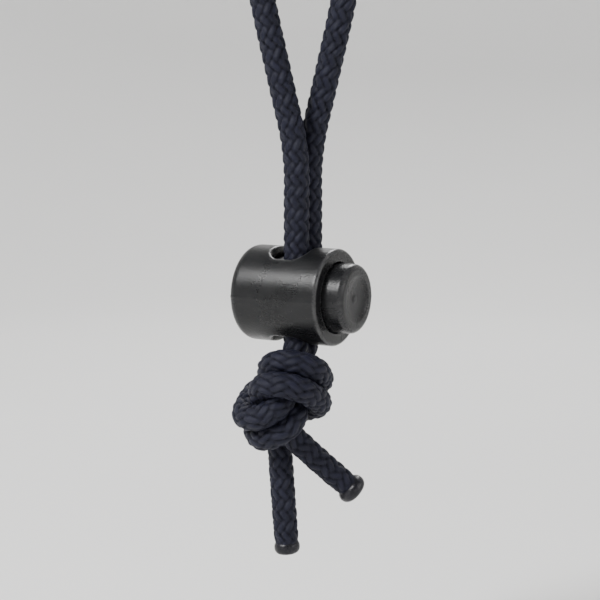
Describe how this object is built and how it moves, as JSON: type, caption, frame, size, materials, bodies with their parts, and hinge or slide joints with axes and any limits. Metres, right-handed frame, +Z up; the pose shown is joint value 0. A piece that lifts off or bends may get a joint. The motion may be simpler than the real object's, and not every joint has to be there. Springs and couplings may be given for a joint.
{
  "type": "cord lock",
  "caption": "Mini spring cord lock with a push-button plunger, on a doubled drawcord above a stopper knot with two sealed tails.",
  "frame": {"origin": "inside top of the drawcord loop, where the cord hangs", "axes": "+Z up along the hanging strands, +X the way the button points, +Y across the two strands"},
  "size_m": [0.013, 0.0125, 0.081],
  "materials": {
    "barrel_plastic": "fine moulded satin, near-black acetal",
    "button_plastic": "moulded satin, near-black acetal",
    "spring_steel": "drawn wire",
    "cord_braid": "round braided polyester, near-black navy",
    "sealed_end": "melted and smoothed braid"
  },
  "bodies": {
    "drawcord": {"drawcord": "cord_braid", "stopper_knot": "cord_braid", "tail_left": "cord_braid", "tail_right": "cord_braid", "tip_left": "sealed_end", "tip_right": "sealed_end"},
    "lock": {"lock_barrel": "barrel_plastic", "spring": "spring_steel"},
    "plunger": {"plunger": "button_plastic"}
  },
  "joints": [
    {"name": "lock_slide", "type": "slide", "parent": "drawcord", "child": "lock", "axis": [0, 0, 1], "range_m": [0, 0.008]},
    {"name": "button_press", "type": "slide", "parent": "lock", "child": "plunger", "axis": [-1, 0, 0], "range_m": [0, 0.0013], "stiffness_N_per_m": 1000, "springref_m": -0.002, "deforming": ["spring"]}
  ]
}
